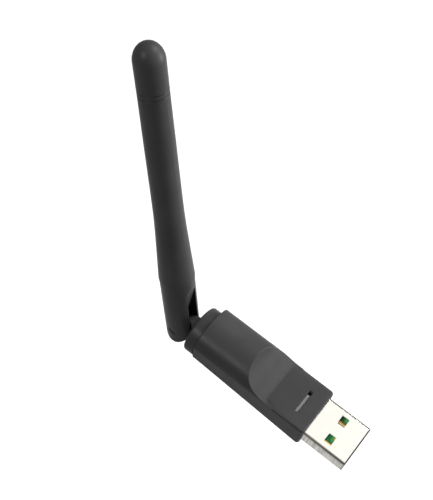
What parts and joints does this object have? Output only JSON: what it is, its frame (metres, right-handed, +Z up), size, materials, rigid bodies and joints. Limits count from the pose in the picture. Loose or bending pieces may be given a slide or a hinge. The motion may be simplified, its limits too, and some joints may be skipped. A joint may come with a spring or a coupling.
{
  "type": "usb_wifi_adapter",
  "caption": "Black USB wireless network adapter with a type A plug and a slim antenna that folds and swivels",
  "frame": {"origin": "middle of the plug's cross-section where it leaves the housing", "axes": "+X out along the plug, +Y to the left seen from the antenna end, +Z up out of the deck"},
  "size_m": [0.0769, 0.0144, 0.0897],
  "materials": {
    "housing_plastic": "fine satin texture",
    "swivel_plastic": "fine satin texture",
    "fork_plastic": "fine satin texture",
    "sheath_plastic": "fine satin texture",
    "pin_plastic": "satin",
    "clear_pipe": "frosted clear",
    "plated_shell": "bright nickel plate, rolled",
    "spacer_plastic": "satin",
    "board_green": "solder mask",
    "gold_pads": "gold flash",
    "chip_black": "moulded",
    "can_metal": "pressed",
    "ceramic_tan": "fired",
    "led_body": "clear resin",
    "lead_jacket": "extruded",
    "solder": "reflowed",
    "sleeve_brass": "drawn tube",
    "insulator_white": "extruded",
    "core_wire": "drawn copper"
  },
  "bodies": {
    "stick": {"upper_cover": "housing_plastic", "lower_case": "housing_plastic", "light_pipe": "clear_pipe", "usb_shell": "plated_shell", "plug_spacer": "spacer_plastic", "main_board": "board_green", "usb_contacts": "gold_pads", "wifi_chip": "chip_black", "crystal": "can_metal", "power_inductor": "chip_black", "capacitors": "ceramic_tan", "resistors": "chip_black", "status_led": "led_body", "coax_lead": "lead_jacket", "lead_solder": "solder", "shell_solder": "solder"},
    "swivel": {"swivel_collar": "swivel_plastic", "swivel_coax": "lead_jacket"},
    "antenna": {"hinge_pins": "pin_plastic", "hinge_fork": "fork_plastic", "antenna_sheath": "sheath_plastic", "antenna_coax": "lead_jacket", "dipole_sleeve": "sleeve_brass", "sleeve_solder": "solder", "core_insulator": "insulator_white", "radiator": "core_wire", "sleeve_spacer": "insulator_white"}
  },
  "joints": [
    {"name": "antenna_swivel", "type": "hinge", "parent": "stick", "child": "swivel", "pos_m": [-0.0329, 0, 0.0009], "axis": [1, 0, 0], "range_deg": [-172, 178]},
    {"name": "antenna_fold", "type": "hinge", "parent": "swivel", "child": "antenna", "pos_m": [-0.0426, -0.00012, -0.0013], "axis": [0, 0.9986, -0.0523], "range_deg": [-77, 13]}
  ]
}
